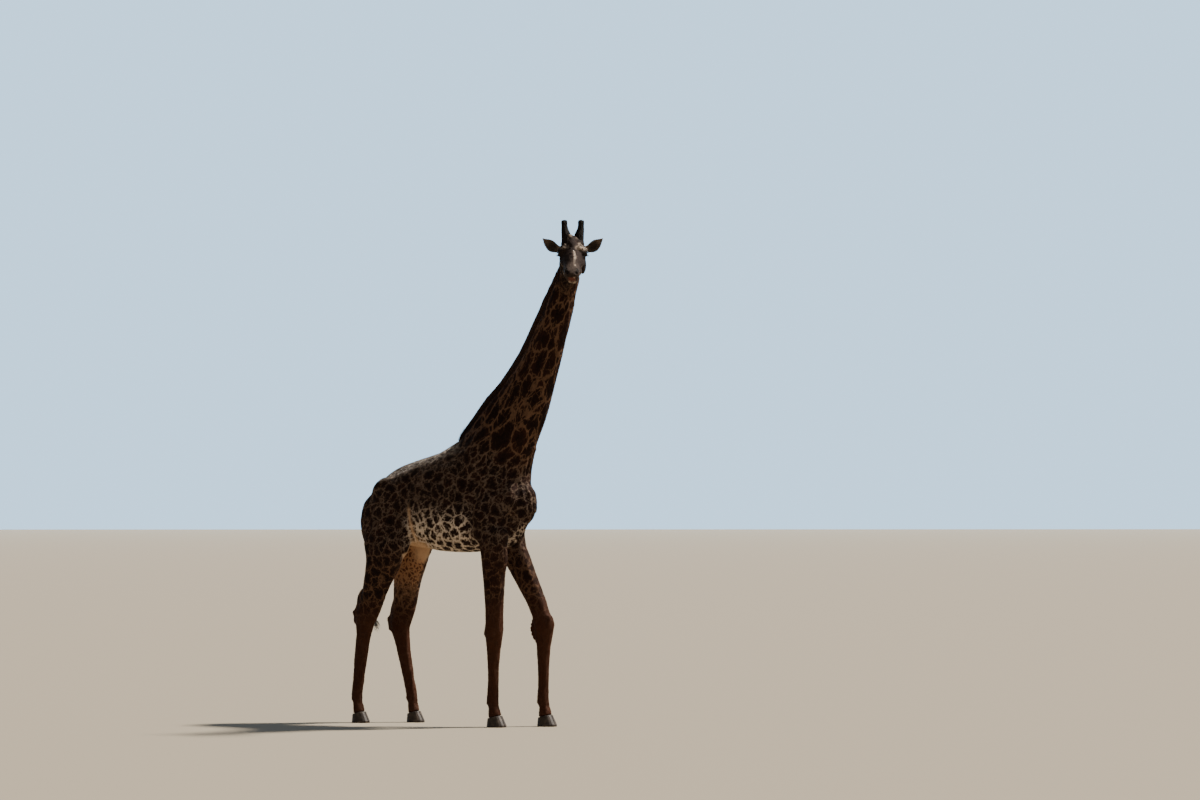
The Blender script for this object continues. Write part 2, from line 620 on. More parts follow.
def coat_lie(places):
    """Which way the hair lies: back and down on the trunk, down the neck and legs, and from
    the muzzle to the poll on the head."""
    p, h = to_trunk(places), to_head(places)
    up_neck = (p - NECK_BASE) @ NECK_RISE
    at_head = share_of_head(h)
    neck = ramp(up_neck, -0.10, 0.35)
    legs = ramp(p[:, 2], 2.25, 1.80)
    lie = np.tile((-0.84, 0.0, -0.54), (len(p), 1))
    lie = lie + ((-0.06, 0.0, -1.0) - lie) * legs[:, None]
    lie = lie + (-NECK_RISE - lie) * neck[:, None]
    cheek = ramp(h[:, 2], 0.0, -0.10)[:, None]
    back = (np.array((-1.0, 0.0, 0.10)) + (0.25, 0.0, -0.55) * cheek) @ HEAD_AXES.T
    lie = lie + (back - lie) * at_head[:, None]
    return lie / np.linalg.norm(lie, axis=1)[:, None]


def put_facts(mesh, facts):
    for name, values in facts.items():
        fact = mesh.attributes.new(name, "FLOAT_VECTOR", "POINT")
        fact.data.foreach_set("vector", values.astype(np.float32).ravel())


hide_places, hide_normals = places_of(hide), normals_of(hide)
hide_facts = markings_at(hide_places, hide_normals, part_of_hide)
lie = coat_lie(hide_places)
hide_facts["coat_run"] = (hide_places - 0.88 * lie
                          * np.sum(to_trunk(hide_places) * lie, 1)[:, None])
hide_facts["coat_tone"] = np.full((len(hide_places), 3), 0.5)
put_facts(hide, hide_facts)

PATCH_DARK, PATCH_RED = (0.0098, 0.0045, 0.0031, 1), (0.025, 0.0088, 0.0050, 1)
LINE_TAN, LINE_CREAM = (0.118, 0.081, 0.058, 1), (0.585, 0.478, 0.382, 1)
BACK_DUST = (0.33, 0.265, 0.210, 1)
GROIN_BUFF, SHIN_BROWN = (0.50, 0.325, 0.200, 1), (0.045, 0.0165, 0.0080, 1)
UNDER_BROWN, THIGH_TAN = (0.108, 0.053, 0.027, 1), (0.340, 0.180, 0.092, 1)
THIGH_SPOT, LIP_RED = (0.100, 0.040, 0.020, 1), (0.120, 0.042, 0.030, 1)
FACE_BROWN, FACE_RUSSET = (0.016, 0.0105, 0.0085, 1), (0.040, 0.026, 0.021, 1)
FACE_GREY, EAR_PALE = (0.480, 0.375, 0.290, 1), (0.300, 0.215, 0.150, 1)
BARE_SKIN = (0.010, 0.0075, 0.0065, 1)


def feed(tree, sockets, values):
    """Each value to its socket: a constant is set on it, another node's output is linked."""
    for socket, value in zip(sockets, values):
        if isinstance(value, (int, float, tuple)):
            socket.default_value = value
        else:
            tree.links.new(value, socket)


def maths(tree, operation, *values):
    node = tree.nodes.new("ShaderNodeMath")
    node.operation = operation
    feed(tree, node.inputs, values)
    return node.outputs[0]


def times(tree, first, second):
    return maths(tree, "MULTIPLY", first, second)


def less(tree, first, second):
    return maths(tree, "SUBTRACT", first, second)


def blend(tree, share, first, second):
    """One colour into another by a share from 0 to 1."""
    node = tree.nodes.new("ShaderNodeMix")
    node.data_type = "RGBA"
    feed(tree, (node.inputs[0], node.inputs[6], node.inputs[7]), (share, first, second))
    return node.outputs[2]


def between(tree, value, low, high):
    """0 at low and 1 at high, held outside them."""
    node = tree.nodes.new("ShaderNodeMapRange")
    node.interpolation_type = "SMOOTHSTEP"
    feed(tree, node.inputs, (value, low, high))
    return node.outputs[0]


def fact(tree, name):
    """The three numbers of one of the hide's facts."""
    node = tree.nodes.new("ShaderNodeAttribute")
    node.attribute_name = name
    parts = tree.nodes.new("ShaderNodeSeparateXYZ")
    tree.links.new(node.outputs["Vector"], parts.inputs[0])
    return node.outputs["Vector"], parts.outputs


def grain(tree, place, scale, detail):
    node = tree.nodes.new("ShaderNodeTexNoise")
    node.inputs["Scale"].default_value = scale
    node.inputs["Detail"].default_value = detail
    tree.links.new(place, node.inputs["Vector"])
    return node.outputs


def moved_by(tree, place, colour, far):
    """The place pushed about by a noise's colour, up to far metres."""
    node = tree.nodes.new("ShaderNodeVectorMath")
    node.operation = "MULTIPLY_ADD"
    tree.links.new(colour, node.inputs[0])
    node.inputs[1].default_value = (far, far, far)
    tree.links.new(place, node.inputs[2])
    return node.outputs[0]


def cells(tree, place, across, feature):
    """Cells about across metres wide: how far their edge is, or a tone for each cell."""
    node = tree.nodes.new("ShaderNodeTexVoronoi")
    node.feature = feature
    node.inputs["Scale"].default_value = 1 / across
    tree.links.new(place, node.inputs["Vector"])
    if feature == "DISTANCE_TO_EDGE":
        return times(tree, node.outputs["Distance"], across)
    return node.outputs["Color"]


def new_finish(name, roughness=0.5, specular=0.5):
    """A material to build on, with its nodes and its shader."""
    finish = bpy.data.materials.new(name)
    finish.use_nodes = True
    shader = finish.node_tree.nodes["Principled BSDF"]
    shader.inputs["Roughness"].default_value = roughness
    shader.inputs["Specular IOR Level"].default_value = specular
    return finish, finish.node_tree, shader


def roughen(tree, shader, heights, strength, distance):
    bump = tree.nodes.new("ShaderNodeBump")
    bump.inputs["Strength"].default_value = strength
    bump.inputs["Distance"].default_value = distance
    tree.links.new(heights, bump.inputs["Height"])
    tree.links.new(bump.outputs[0], shader.inputs["Normal"])


PATCH_ACROSS, LEAFLET_ACROSS, FLECK_ACROSS = 0.105, 0.046, 0.042


def coat_finish(name, bumpy):
    """Hair over hide, marked by the facts that the mesh carries."""
    finish, tree, shader = new_finish(name, 0.72, 0.06)
    pattern, _ = fact(tree, "coat_pattern")
    _, (width, reach, dark) = fact(tree, "coat_lines")
    _, (pale, bare, plain) = fact(tree, "coat_ground")
    _, (at_head, dust, warm) = fact(tree, "coat_regions")
    _, (ear_back, fair, lips) = fact(tree, "coat_head")
    _, (muzzle, cheek, brown) = fact(tree, "coat_face")
    _, (tone, _, _) = fact(tree, "coat_tone")

    # the ragged cells, and the small leaflets along their edges
    broad = grain(tree, pattern, 7.0, 2.0)
    ragged = grain(tree, pattern, 34.0, 3.0)
    placed = moved_by(tree, pattern, broad["Color"], 0.085)
    placed = moved_by(tree, placed, ragged["Color"], 0.030)
    edge = cells(tree, placed, PATCH_ACROSS, "DISTANCE_TO_EDGE")
    leaflet = cells(tree, placed, LEAFLET_ACROSS, "DISTANCE_TO_EDGE")
    patch_tone = tree.nodes.new("ShaderNodeSeparateXYZ")
    tree.links.new(cells(tree, placed, PATCH_ACROSS, "F1"), patch_tone.inputs[0])

    # the net of ground between them, and the flecks of the inner thigh
    fade = less(tree, 1.0, maths(tree, "DIVIDE", edge, reach))
    inlet = times(tree, maths(tree, "MAXIMUM", fade, 0.0), width)
    soft = 0.0015
    main_line = between(tree, edge, maths(tree, "ADD", width, soft), less(tree, width, soft))
    side_line = between(tree, leaflet, maths(tree, "ADD", inlet, soft * 0.6),
                        less(tree, inlet, soft * 1.4))
    on_line = maths(tree, "MAXIMUM", main_line, side_line)
    fleck_edge = cells(tree, placed, FLECK_ACROSS, "DISTANCE_TO_EDGE")
    between_flecks = between(tree, fleck_edge, 0.0074, 0.0046)
    on_line = maths(tree, "ADD", times(tree, on_line, less(tree, 1.0, warm)),
                    times(tree, between_flecks, warm))

    # patches, ground, groin and shins
    core = between(tree, edge, 0.004, 0.036)
    redness = times(tree, less(tree, 1.15, core),
                    maths(tree, "MULTIPLY_ADD", patch_tone.outputs[0], 0.8, 0.15))
    patch = blend(tree, redness, PATCH_DARK, PATCH_RED)
    patch = blend(tree, times(tree, warm, 0.75), patch, THIGH_SPOT)
    ground = blend(tree, pale, LINE_TAN, LINE_CREAM)
    ground = blend(tree, times(tree, brown, 0.80), ground, UNDER_BROWN)
    ground = blend(tree, warm, ground, THIGH_TAN)
    marked = blend(tree, on_line, patch, ground)
    marked = blend(tree, bare, marked, GROIN_BUFF)
    shin = blend(tree, times(tree, on_line, 0.10), SHIN_BROWN, LINE_TAN)
    marked = blend(tree, plain, marked, shin)

    # dust on the back
    speckle = between(tree, ragged["Fac"], 0.42, 0.56)
    dusty = maths(tree, "MULTIPLY_ADD", on_line, 0.55,
                  maths(tree, "MULTIPLY_ADD", speckle, 0.24, 0.05))
    dusty = times(tree, dust, maths(tree, "MINIMUM", dusty, 0.75))
    marked = blend(tree, dusty, marked, BACK_DUST)

    # the face with its streaks and lips, and the backs of the ears
    spotted = times(tree, less(tree, 1.0, on_line),
                    maths(tree, "MULTIPLY_ADD", cheek, 0.55, 0.20))
    face = blend(tree, ragged["Fac"], FACE_BROWN, FACE_RUSSET)
    face = blend(tree, times(tree, spotted, less(tree, 1.0, muzzle)), face, PATCH_DARK)
    worn = maths(tree, "MULTIPLY_ADD", between(tree, ragged["Fac"], 0.36, 0.60), 0.65, 0.35)
    face = blend(tree, times(tree, fair, worn), face, FACE_GREY)
    face = blend(tree, times(tree, lips, 0.85), face, LIP_RED)
    marked = blend(tree, at_head, marked, face)
    marked = blend(tree, times(tree, ear_back, 0.85), marked, EAR_PALE)
    marked = blend(tree, dark, marked, BARE_SKIN)

    # light and dark from lock to lock, and the dust's soft shine
    shade = tree.nodes.new("ShaderNodeHueSaturation")
    varied = maths(tree, "MULTIPLY_ADD", broad["Fac"], 0.5, 0.75)
    tree.links.new(times(tree, varied, maths(tree, "MULTIPLY_ADD", tone, 0.5, 0.75)),
                   shade.inputs["Value"])
    tree.links.new(marked, shade.inputs["Color"])
    tree.links.new(shade.outputs[0], shader.inputs["Base Color"])
    shader.inputs["Sheen Roughness"].default_value = 0.45
    shader.inputs["Sheen Tint"].default_value = (1.0, 0.92, 0.84, 1)
    tree.links.new(times(tree, dust, maths(tree, "MULTIPLY_ADD", speckle, 0.32, 0.14)),
                   shader.inputs["Sheen Weight"])
    if bumpy:
        run, _ = fact(tree, "coat_run")
        hairs = grain(tree, run, 420.0, 3.0)
        locks = grain(tree, run, 110.0, 2.0)
        heights = maths(tree, "MULTIPLY_ADD", locks["Fac"], 0.6, hairs["Fac"])
        roughen(tree, shader, heights, 0.55, 0.0022)
    return finish


hide.materials.append(coat_finish("hide_and_coat", True))
COAT = coat_finish("coat_tufts", False)


# ---------------------------------------------------------------- eyes
# Large, dark, wet eyes: a glassy globe with a dark brown iris and a level, slot-like pupil.
# Each is a ball set in its socket behind the lids, under a clear and slightly raised cornea.
eye_finish, tree, shader = new_finish("wet_eye", 0.12, 0.12)
_, (ahead, across, tall) = fact(tree, "eye_gaze")


def off_gaze(flatness):
    """How far off the gaze, in an oval that is flatter the more flatness there is."""
    squares = [maths(tree, "POWER", way, 2.0) for way in (across, tall)]
    return maths(tree, "POWER", maths(tree, "MULTIPLY_ADD", squares[1], flatness, squares[0]), 0.5)


iris = blend(tree, between(tree, off_gaze(3.2), 0.30, 0.42), (0.002, 0.002, 0.003, 1),
             (0.020, 0.008, 0.004, 1))
globe = blend(tree, between(tree, off_gaze(1.0), 0.60, 0.78), iris, (0.012, 0.008, 0.006, 1))
tree.links.new(globe, shader.inputs["Base Color"])


def add_piece(name, mesh, slot, finish, *replaced):
    """A piece that rides with the animal, in place of the solids named last."""
    mesh.shade_smooth()
    mesh.materials.append(finish)
    piece = bpy.data.objects.new(name, mesh)
    bpy.context.scene.collection.objects.link(piece)
    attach(piece, "root")
    if replaced:
        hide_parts(*replaced)


for side, hand in ((1, "left"), (-1, "right")):
    bm = bmesh.new()
    bmesh.ops.create_uvsphere(bm, u_segments=40, v_segments=28, radius=1)
    globe_mesh = mesh_from(bm, f"eye_globe_{hand}")
    unit = places_of(globe_mesh)
    gaze = GAZE * (1, side, 1)
    sideways, upward = across_gaze(gaze)
    looks = np.stack([unit @ gaze, unit @ sideways, unit @ upward], 1)
    cornea = 1 + 0.035 * ramp(looks[:, 0], 0.72, 0.90)
    put_places(globe_mesh, from_head(EYE_AT * (1, side, 1)
                                     + unit * (EYE_RADIUS * 0.975 * cornea)[:, None]))
    put_facts(globe_mesh, {"eye_gaze": looks})
    add_piece(f"eye_globe_{hand}", globe_mesh, "eye", eye_finish, f"eye_{hand}")


# ---------------------------------------------------------------- the coat
# A short coat that lies flat. Thin overlapping locks of hair stand a millimetre or two over
# the hide, longest on trunk and neck and shortest on the face and feet, all along the lie of
# the coat. Each lock takes its colour from the hide at its root.
hide.calc_loop_triangles()
hide_corners = read(hide.loop_triangles, "vertices", 3, np.int32)
hide_loops = read(hide.loop_triangles, "loops", 3, np.int32)
hide_uv = read(hide.uv_layers["OFBake"].data, "uv", 2)
a, b, c = (hide_places[hide_corners[:, k]] for k in range(3))
hide_areas = np.linalg.norm(np.cross(b - a, c - a), axis=1) / 2
hide_middles = (a + b + c) / 3


def roots_on_hide(count, wanted, seed):
    """Roots spread over the hide, as many to each face as its area times wanted asks."""
    draws = np.random.default_rng(seed)
    weight = hide_areas * wanted
    chosen = draws.choice(len(weight), count, p=weight / weight.sum())
    share = draws.random((count, 2))
    over = share.sum(1) > 1
    share[over] = 1 - share[over]
    share = np.column_stack([1 - share.sum(1), share])[:, :, None]
    at = hide_corners[chosen]
    found = {"draws": draws, "place": np.sum(hide_places[at] * share, 1),
             "normal": np.sum(hide_normals[at] * share, 1),
             "uv": np.sum(hide_uv[hide_loops[chosen]] * share, 1),
             "kind": part_of_hide[at[:, 0]]}
    found["normal"] /= np.linalg.norm(found["normal"], axis=1)[:, None]
    found["facts"] = {name: np.sum(values[at] * share, 1) for name, values in hide_facts.items()}
    return found


LOCK_FACES = [[0, 1, 4, 3], [1, 2, 5, 4], [2, 0, 3, 5], [3, 4, 6], [4, 5, 6], [5, 3, 6]]
BAKE_PATCH = 0.003
LOCK_SPOTS = np.array([(0, 0), (1, 0), (0.5, 0.1), (0.1, 0.5), (0.9, 0.5), (0.5, 0.6), (0.5, 1)])


def copies_mesh(name, points, each, pattern, facts, spots):
    """A mesh of many like locks or strands: each has the same faces and a spot on the coat map."""
    first = np.arange(len(points) // each) * each
    faces = []
    for face in pattern:
        faces += (first[:, None] + face).tolist()
    mesh = bpy.data.meshes.new(name)
    mesh.from_pydata(points, [], faces)
    put_facts(mesh, {key: np.repeat(values, each, 0) for key, values in facts.items()})
    corner = read(mesh.loops, "vertex_index", 1, np.int32)[:, 0]
    layer = mesh.uv_layers.new(name="OFBake")
    layer.data.foreach_set("uv", spots[corner].astype(np.float32).ravel())
    return mesh


def locks_mesh(name, roots, along, length, width, lift):
    """Tapering three-sided locks: along gives each one's way, lift its tip's height."""
    place, up = roots["place"], roots["normal"]
    along = along - up * np.sum(along * up, 1)[:, None]
    along /= np.maximum(np.linalg.norm(along, axis=1), 1e-6)[:, None]
    across = np.cross(along, up)
    length, width, lift = (np.broadcast_to(v, len(place))[:, None] for v in
                           (length, width, lift))
    sunk = place - up * width * 0.25
    mid = place + along * length * 0.48 + up * lift * 0.5
    tip = place + along * length + up * lift
    rows = [sunk - across * width * 0.42, sunk + across * width * 0.42,
            sunk + up * width * 0.55 + along * length * 0.05,
            mid - across * width * 0.5 - up * width * 0.10,
            mid + across * width * 0.5 - up * width * 0.10, mid + up * width * 0.22, tip]
    facts = dict(roots["facts"])
    facts["coat_tone"] = np.repeat(roots["draws"].random(len(place))[:, None], 3, 1)
    spots = (np.repeat(roots["uv"], 7, 0)
             + np.tile((LOCK_SPOTS - 0.5) * BAKE_PATCH, (len(place), 1)))
    return copies_mesh(name, np.stack(rows, 1).reshape(-1, 3), 7, LOCK_FACES, facts, spots)


mid_trunk, mid_head = to_trunk(hide_middles), to_head(hide_middles)
mid_kind = part_of_hide[hide_corners[:, 0]]
mid_on_head = (share_of_head(mid_head) > 0.3) | (mid_kind > 0)
mid_up_neck = (mid_trunk - NECK_BASE) @ NECK_RISE
mid_on_neck = (mid_up_neck > 0.05) & ~mid_on_head
mid_on_leg = (mid_trunk[:, 2] < 1.85) & ~mid_on_head
mid_on_trunk = ~(mid_on_head | mid_on_neck | mid_on_leg)
fewer = 1.0


def lay_coat(name, roots, way, stray, uneven, length, width, lift, finer=1.0):
    """A piece of coat from its roots: every lock strays from the way and differs in size."""
    wild = roots["draws"].normal(0, stray, (len(roots["place"]), 3))
    size = roots["draws"].uniform(1 - uneven, 1 + uneven, len(roots["place"])) * finer
    add_piece(name, locks_mesh(name, roots, way + wild, length * size, width * size, lift * size),
              "hide", COAT)


for name, where, count, length, width, lift, seed in (
        ("coat_neck", mid_on_neck, 20000, 0.017, 0.0040, 0.0026, 1),
        ("coat_trunk_left", mid_on_trunk & (mid_trunk[:, 1] > 0), 20500, 0.017, 0.0042, 0.0026,
         2),
        ("coat_trunk_right", mid_on_trunk & (mid_trunk[:, 1] <= 0), 20500, 0.017, 0.0042,
         0.0026, 3),
        ("coat_forelegs", mid_on_leg & (mid_trunk[:, 0] > 0), 16500, 0.013, 0.0034, 0.0021, 4),
        ("coat_hindlegs", mid_on_leg & (mid_trunk[:, 0] <= 0), 16500, 0.013, 0.0034, 0.0021,
         5)):
    roots = roots_on_hide(int(count * fewer), where.astype(float), seed)
    lay_coat(name, roots, coat_lie(roots["place"]), 0.16, 0.25, length, width, lift)

for hand, side in (("left", 1), ("right", -1)):
    here = mid_on_head & (mid_kind == 0) & (mid_head[:, 1] * side > 0)
    roots = roots_on_hide(int(14000 * fewer), here * (1 + ramp(mid_head[:, 0], 0.25, 0.45)), 6)
    finer = 1 - 0.55 * ramp(to_head(roots["place"])[:, 0], 0.05, 0.40)
    lay_coat(f"coat_head_{hand}", roots, coat_lie(roots["place"]), 0.16, 0.25, 0.0088, 0.0020,
             0.0008, finer)

# pale hairs on the ears, combed out towards their tips
roots = roots_on_hide(int(7000 * fewer), (mid_kind == 1) * 1.0, 7)
ear_side = np.sign(to_head(roots["place"])[:, 1])
outward = np.column_stack([np.zeros_like(ear_side), ear_side * 0.9,
                           np.full_like(ear_side, 0.35)]) @ HEAD_AXES.T
lay_coat("coat_ears", roots, outward, 0.25, 0.3, 0.0105, 0.0017, 0.0012)


# ---------------------------------------------------------------- eyelashes
# Long dark lashes stand out and down from the upper lid, shorter ones from the lower. They
# are stiff hairs, rooted in the edges of the lids.
def hair_finish(name, colour, roughness, second=None):
    """Hair whose strands run from one colour to a second."""
    finish, tree, shader = new_finish(name, roughness, 0.12)
    _, (tone, _, _) = fact(tree, "coat_tone")
    tree.links.new(blend(tree, tone, colour, second or colour), shader.inputs["Base Color"])
    return finish


def strands_mesh(name, paths, width, tones, uv):
    """Three-sided strands along paths (strand, step, 3); each narrows to a point."""
    count, steps, _ = paths.shape
    tangent = np.gradient(paths, axis=1)
    tangent /= np.maximum(np.linalg.norm(tangent, axis=2, keepdims=True), 1e-9)
    other = np.where(np.abs(tangent[:, :, 2:]) < 0.9, (0, 0, 1.0), (0, 1.0, 0))
    side_way = np.cross(tangent, other)
    side_way /= np.linalg.norm(side_way, axis=2, keepdims=True)
    up_way = np.cross(side_way, tangent)
    taper = np.linspace(1, 0, steps)[None, :, None] ** 0.6
    half = width / 2 * taper
    rows = [paths + half * (side_way * math.cos(t) + up_way * math.sin(t))
            for t in (0.5, 2.6, 4.7)]
    points = np.stack(rows, 2)[:, :-1].reshape(count, -1, 3)
    points = np.concatenate([points, paths[:, -1:]], 1)
    each = points.shape[1]
    pattern = []
    for s in range(steps - 2):
        for k in range(3):
            n = (k + 1) % 3
            pattern.append([s * 3 + k, s * 3 + n, (s + 1) * 3 + n, (s + 1) * 3 + k])
    last = (steps - 2) * 3
    pattern += [[last + k, last + (k + 1) % 3, each - 1] for k in range(3)]
    patch = np.column_stack([np.arange(each) % 3 / 3, np.arange(each) / each]) * BAKE_PATCH
    spots = np.repeat(uv, each, 0) + np.tile(patch, (count, 1))
    facts = {"coat_tone": np.repeat(tones[:, None], 3, 1)}
    return copies_mesh(name, points.reshape(-1, 3), each, pattern, facts, spots)


LASH_HAIR = hair_finish("lash_hair", (0.012, 0.009, 0.008, 1), 0.45)
for side, hand in ((1, "left"), (-1, "right")):
    draws = np.random.default_rng(20)
    paths = []
    for turn_to, count, long in ((0.5, 74, 0.036), (-0.5, 40, 0.019)):
        for number in range(count):
            turn_at = math.pi * (turn_to + 0.84 * (number / (count - 1) - 0.5))
            root = round_the_eye(turn_at, lid_opening(turn_at) + 0.05, EYE_RADIUS * 1.10)
            out = root - EYE_AT
            out /= np.linalg.norm(out)
            reach = long * draws.uniform(0.75, 1.1) * (0.65 + 0.35 * abs(math.sin(turn_at)))
            way = out * 0.75 + GAZE * 0.55 + draws.normal(0, 0.07, 3)
            droop = np.array((0.10, 0.0, -0.55 if turn_to > 0 else 0.15))
            paths.append([root + way * reach * t + droop * reach * t * (1 - 0.6 * t)
                          for t in np.linspace(0, 1, 6)])
    paths = on_head(np.array(paths).reshape(-1, 3), side).reshape(-1, 6, 3)
    spots = np.column_stack([np.linspace(0.1, 0.9, len(paths)), np.full(len(paths), 0.5)])
    lashes = strands_mesh(f"lashes_{hand}", paths, 0.0011, draws.random(len(paths)), spots)
    add_piece(f"lashes_{hand}", lashes, "horn_hair", LASH_HAIR)


# ---------------------------------------------------------------- ossicones
# Bony horns grown over with hide: rough dark hair up the shaft, and a bald, knobbed, paler top
# worn smooth by sparring.
HORN_LENGTH, HORN_TOP_BALD = 0.262, 0.030
HORN_LEAN = math.radians(22)
horn_finish, tree, shader = new_finish("horn_hide", 0.7, 0.15)
_, (up_horn, _, _) = fact(tree, "horn_rise")
where = tree.nodes.new("ShaderNodeTexCoord").outputs["Object"]
mottle = grain(tree, where, 60.0, 4.0)
haired = blend(tree, mottle["Fac"], (0.005, 0.004, 0.0035, 1), (0.018, 0.013, 0.010, 1))
bald = blend(tree, mottle["Fac"], (0.008, 0.007, 0.0065, 1), (0.034, 0.029, 0.025, 1))
ragged_edge = maths(tree, "MULTIPLY_ADD", mottle["Fac"], 0.10, up_horn)
tree.links.new(blend(tree, between(tree, ragged_edge, 0.90, 0.99), haired, bald),
               shader.inputs["Base Color"])
roughen(tree, shader, grain(tree, where, 130.0, 4.0)["Fac"], 0.8, 0.004)
HORN_HAIR = hair_finish("horn_hair", (0.005, 0.004, 0.0036, 1), 0.7, (0.019, 0.013, 0.010, 1))

skull_tree = surface_of(["head"])
for side, hand in ((1, "left"), (-1, "right")):
    shaft = soft_cast([f"ossicone_{hand}"], -0.0012, 0.0035, 5)
    way = np.array((-math.sin(HORN_LEAN), 0.040 * side, math.cos(HORN_LEAN)))
    way = way / np.linalg.norm(way)
    upward = way @ HEAD_AXES.T
    # the horn's foot is sunk into the hide
    spots = places_of(shaft)
    gap = np.array([skull_tree.find_nearest(spot)[3] for spot in spots])
    put_places(shaft, spots - 0.016 * ramp(gap, 0.012, 0.003)[:, None] * upward)
    # knobs and ridges up the shaft
    base = np.array((-0.098, 0.076 * side, 0.078))
    spots, normals = places_of(shaft), normals_of(shaft)
    rise = (to_head(spots) - base) @ way
    turns = np.arctan2(*(to_head(spots) - base - rise[:, None] * way)[:, :2].T)
    knobs = (0.0007 * np.sin(turns * 3 + rise * 25) * np.sin(rise * 40 + turns)
             + 0.0006 * np.sin(turns * 9 - rise * 30))
    put_places(shaft, spots + normals * (knobs - 0.0008)[:, None])
    put_facts(shaft, {"horn_rise": np.repeat((rise / HORN_LENGTH)[:, None], 3, 1)})
    add_piece(f"horn_{hand}", shaft, "horn_hair", horn_finish, f"ossicone_{hand}")

    draws = np.random.default_rng(30)
    spots, normals = places_of(shaft), normals_of(shaft)
    rise = (to_head(spots) - base) @ way
    hairy = np.flatnonzero((rise > -0.01) & (rise < HORN_LENGTH - HORN_TOP_BALD * 0.7))
    picked = draws.choice(hairy, min(len(hairy), int(3600 * fewer)), replace=False)
    roots = {"place": spots[picked], "normal": normals[picked], "draws": draws,
             "uv": np.column_stack([0.1 + 0.8 * draws.random(len(picked)), rise[picked] * 3]),
             "facts": {}}
    collar = ramp(rise[picked], 0.17, 0.23)
    combed = upward + draws.normal(0, 0.12, (len(picked), 3))
    size = draws.uniform(0.7, 1.2, len(picked))
    hair = locks_mesh(f"horn_hair_{hand}", roots, combed, (0.012 + 0.004 * collar) * size,
                      0.0019 * size, (0.0007 + 0.0014 * collar) * size)
    add_piece(f"horn_hair_{hand}", hair, "horn_hair", HORN_HAIR)


# ---------------------------------------------------------------- the mane
# A stiff, upright brush of short hair, from between the horns down the nape to the withers,
# as high as its solid. It is darkest at the withers.
MANE_HAIR = hair_finish("mane_hair", (0.014, 0.007, 0.005, 1), 0.6, (0.075, 0.032, 0.016, 1))
crest = soft_cast(["mane"], -0.0085, 0.0060, 5)
crest_draws = np.random.default_rng(9).random(len(crest.vertices)) * 0.35
put_facts(crest, {"coat_tone": np.repeat(crest_draws[:, None], 3, 1)})
add_piece("mane_body", crest, "mane_hair", MANE_HAIR)
mane_tree = surface_of(["mane"])
mane_low, mane_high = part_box("mane")
near_mane = np.all((hide_middles > np.array(mane_low) - 0.05)
                   & (hide_middles < np.array(mane_high) + 0.02), 1) & (mid_kind == 0)
under_mane = np.zeros(len(hide_middles))
for k in np.flatnonzero(near_mane):
    corner = hide_corners[k]
    way = hide_normals[corner].sum(0)
    hit = mane_tree.ray_cast(Vector(hide_middles[k]), Vector(way).normalized(), 0.03)
    under_mane[k] = 1.0 if hit[0] is not None else 0.0
roots = roots_on_hide(int(10500 * max(fewer, 0.4)), under_mane, 8)
draws = roots["draws"]
tall = np.zeros(len(roots["place"]))
for k, (place, way) in enumerate(zip(roots["place"], roots["normal"])):
    place, way = Vector(place), Vector(way)
    hit, _, _, far = mane_tree.ray_cast(place, way, 0.03)
    if hit is not None:
        _, _, _, more = mane_tree.ray_cast(hit + way * 0.002, way, 0.12)
        tall[k] = far + 0.002 + (more or 0.0)
lie = coat_lie(roots["place"])
lean = draws.uniform(0.04, 0.16, len(tall))[:, None]
at_withers = ramp(to_trunk(roots["place"])[:, 2], 3.08, 2.98)
tall = tall * draws.uniform(0.84, 0.97, len(tall)) + 0.022 * at_withers * draws.random(len(tall))
steps = np.linspace(0, 1, 4)[None, :, None]
wild = draws.normal(0, 0.035, (len(tall), 3))
paths = (roots["place"][:, None] - 0.004 * roots["normal"][:, None]
         + (roots["normal"] + wild)[:, None] * tall[:, None, None] * steps
         + (lie * lean * tall[:, None])[:, None] * steps ** 2)
dark_end = ramp(to_trunk(roots["place"])[:, 2], 3.6, 3.0)
tones = draws.random(len(tall)) * (1 - 0.8 * dark_end)
keep = tall > 0.008
mane_strands = strands_mesh("mane_hair", paths[keep], 0.0036, tones[keep], roots["uv"][keep])
add_piece("mane_hair", mane_strands, "mane_hair", MANE_HAIR, "mane")


# ---------------------------------------------------------------- the tail's tassel
# A long switch of coarse black hair, rooted along the last part of the dock. One wisp of it
# is blown forward.
TASSEL_HAIR = hair_finish("tassel_hair", (0.006, 0.005, 0.005, 1), 0.4, (0.030, 0.020, 0.014, 1))
tassel_spots = places_of(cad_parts["tail_tassel"].data)
tassel_low, tassel_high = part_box("tail_tassel")
levels = np.linspace(tassel_high.z, tassel_low.z, 9)
bends = [np.polyfit(tassel_spots[:, 2] - tassel_low.z, tassel_spots[:, k], 3) for k in (0, 1)]
cores = np.column_stack([np.polyval(bend, levels - tassel_low.z) for bend in bends])
breadths = []
for level, core in zip(levels, cores):
    ring = tassel_spots[np.argsort(np.abs(tassel_spots[:, 2] - level))[:14]]
    breadths.append(np.linalg.norm(ring[:, :2] - core, axis=1).max())
breadths = np.array(breadths)
draws = np.random.default_rng(40)
paths, tones = [], []
